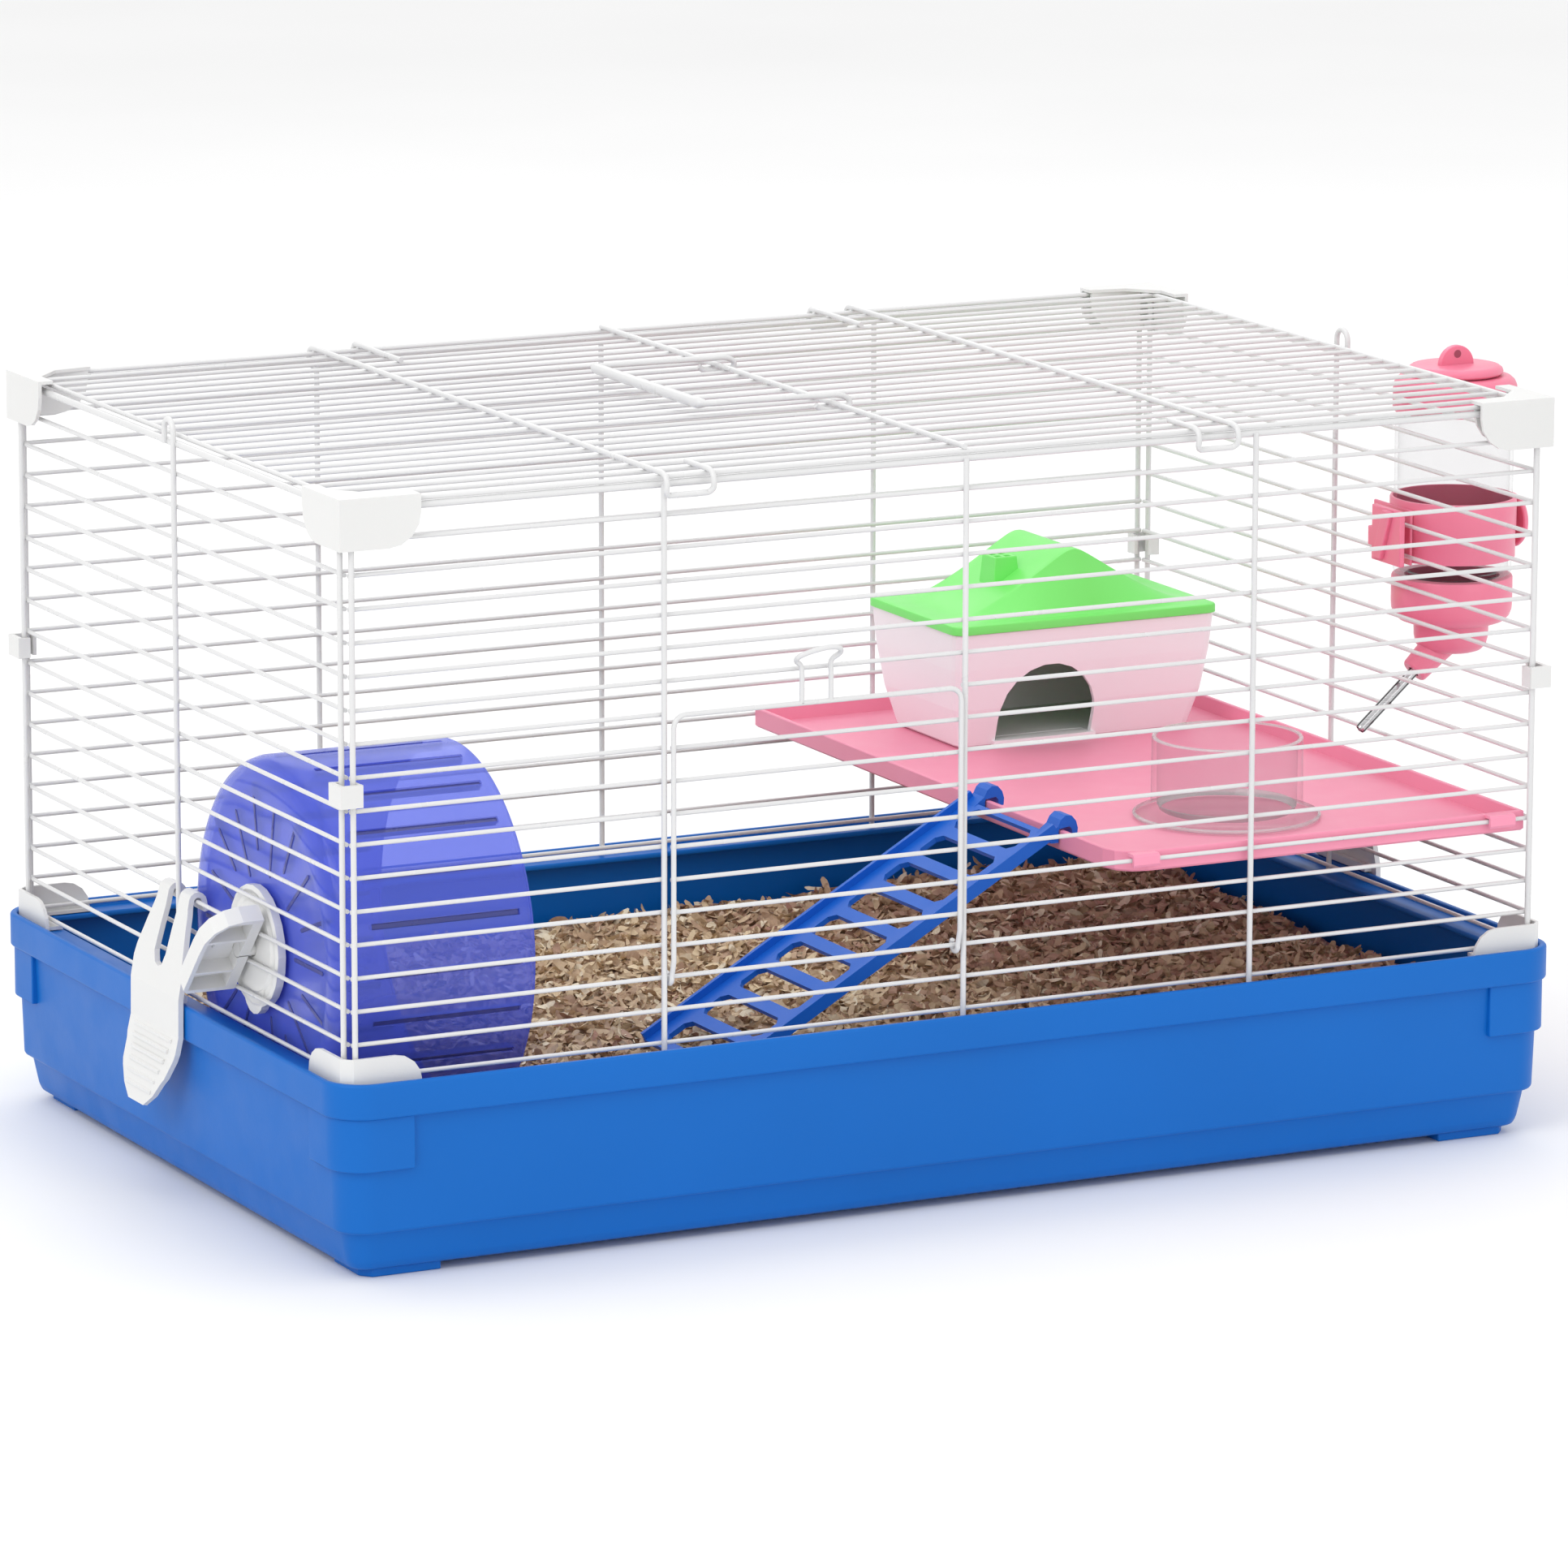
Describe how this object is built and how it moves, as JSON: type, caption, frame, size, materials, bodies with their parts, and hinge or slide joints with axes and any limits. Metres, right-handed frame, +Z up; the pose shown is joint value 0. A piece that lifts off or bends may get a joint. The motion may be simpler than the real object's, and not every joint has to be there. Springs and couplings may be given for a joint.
{
  "type": "hamster cage",
  "caption": "Two-level wire hamster cage on a deep plastic tray, with exercise wheel, shelf, ladder, hide house, food bowl, drinking bottle, front door and carry handle.",
  "frame": {"origin": "bottom centre of the bounding box", "axes": "+X right along the front, +Y to the back, +Z up; the front with the door faces -Y"},
  "size_m": [0.5462, 0.3146, 0.2806],
  "materials": {
    "tray_blue": "gloss",
    "litter": "loose shavings",
    "wire": "gloss white",
    "white_plastic": "satin",
    "wheel_violet": "translucent gloss",
    "shelf_pink": "satin",
    "ladder_blue": "satin",
    "house_white": "satin",
    "lid_green": "satin",
    "bowl_clear": "translucent",
    "bottle_clear": "clear",
    "bottle_pink": "satin",
    "steel": "polished"
  },
  "bodies": {
    "tray": {"tray": "tray_blue", "wood_shavings": "litter"},
    "cage": {"front_panel": "wire", "back_panel": "wire", "left_end_panel": "wire", "right_end_panel": "wire", "roof_panel": "wire", "wheel_axle": "white_plastic", "wheel_mounting_disc": "white_plastic", "wheel_clamp_bracket": "white_plastic", "shelf_platform": "shelf_pink", "bottle_body": "bottle_clear", "bottle_shoulder": "bottle_pink", "bottle_holder": "bottle_pink", "holder_end_knob": "bottle_pink", "bottle_lower_cap": "bottle_pink", "spout_tube": "steel", "corner_cap_front_left": "white_plastic", "corner_foot_front_left": "white_plastic", "corner_clip_front_left": "white_plastic", "corner_cap_front_right": "white_plastic", "corner_foot_front_right": "white_plastic", "corner_clip_front_right": "white_plastic", "corner_cap_back_left": "white_plastic", "corner_foot_back_left": "white_plastic", "corner_clip_back_left": "white_plastic", "corner_cap_back_right": "white_plastic", "corner_foot_back_right": "white_plastic", "corner_clip_back_right": "white_plastic"},
    "wheel": {"exercise_wheel": "wheel_violet"},
    "door": {"front_door": "wire"},
    "handle": {"carry_handle": "wire"},
    "clip_left": {"tray_clip_left": "white_plastic"},
    "clip_right": {"tray_clip_right": "white_plastic"},
    "house": {"house_body": "house_white"},
    "lid": {"house_lid": "lid_green"},
    "bowl": {"food_bowl": "bowl_clear"},
    "ladder": {"ladder": "ladder_blue"},
    "stopper": {"bottle_stopper": "bottle_pink"},
    "ball": {"spout_ball": "steel"}
  },
  "joints": [
    {"name": "cage_lift", "type": "slide", "parent": "tray", "child": "cage", "axis": [0, 0, 1], "range_m": [0, 0.25]},
    {"name": "wheel_spin", "type": "hinge", "parent": "cage", "child": "wheel", "pos_m": [-0.20595, -0.06, 0.1009], "axis": [1, 0, 0], "continuous": true},
    {"name": "door_swing", "type": "hinge", "parent": "cage", "child": "door", "pos_m": [-0.07395, -0.1473, 0.09575], "axis": [1, 0, 0], "range_deg": [0, 130]},
    {"name": "handle_swing", "type": "hinge", "parent": "cage", "child": "handle", "pos_m": [-0.01515, 0, 0.27515], "axis": [0, 1, 0], "range_deg": [0, 165]},
    {"name": "clip_left_swing", "type": "hinge", "parent": "cage", "child": "clip_left", "pos_m": [-0.25195, 0, 0.10748], "axis": [0, 1, 0], "range_deg": [0, 50]},
    {"name": "clip_right_swing", "type": "hinge", "parent": "cage", "child": "clip_right", "pos_m": [0.22005, 0, 0.10748], "axis": [0, -1, 0], "range_deg": [0, 50]},
    {"name": "house_lift", "type": "slide", "parent": "cage", "child": "house", "axis": [0, 0, 1], "range_m": [0, 0.03]},
    {"name": "lid_lift", "type": "slide", "parent": "house", "child": "lid", "axis": [0, 0, 1], "range_m": [0, 0.04]},
    {"name": "bowl_lift", "type": "slide", "parent": "cage", "child": "bowl", "axis": [0, 0, 1], "range_m": [0, 0.08]},
    {"name": "ladder_lift", "type": "slide", "parent": "cage", "child": "ladder", "axis": [0, 0, 1], "range_m": [0, 0.04]},
    {"name": "stopper_lift", "type": "slide", "parent": "cage", "child": "stopper", "axis": [0, 0, 1], "range_m": [0, 0.03]},
    {"name": "ball_play", "type": "slide", "parent": "cage", "child": "ball", "axis": [0.7513, 0, 0.66], "range_m": [0, 0.0012]}
  ]
}
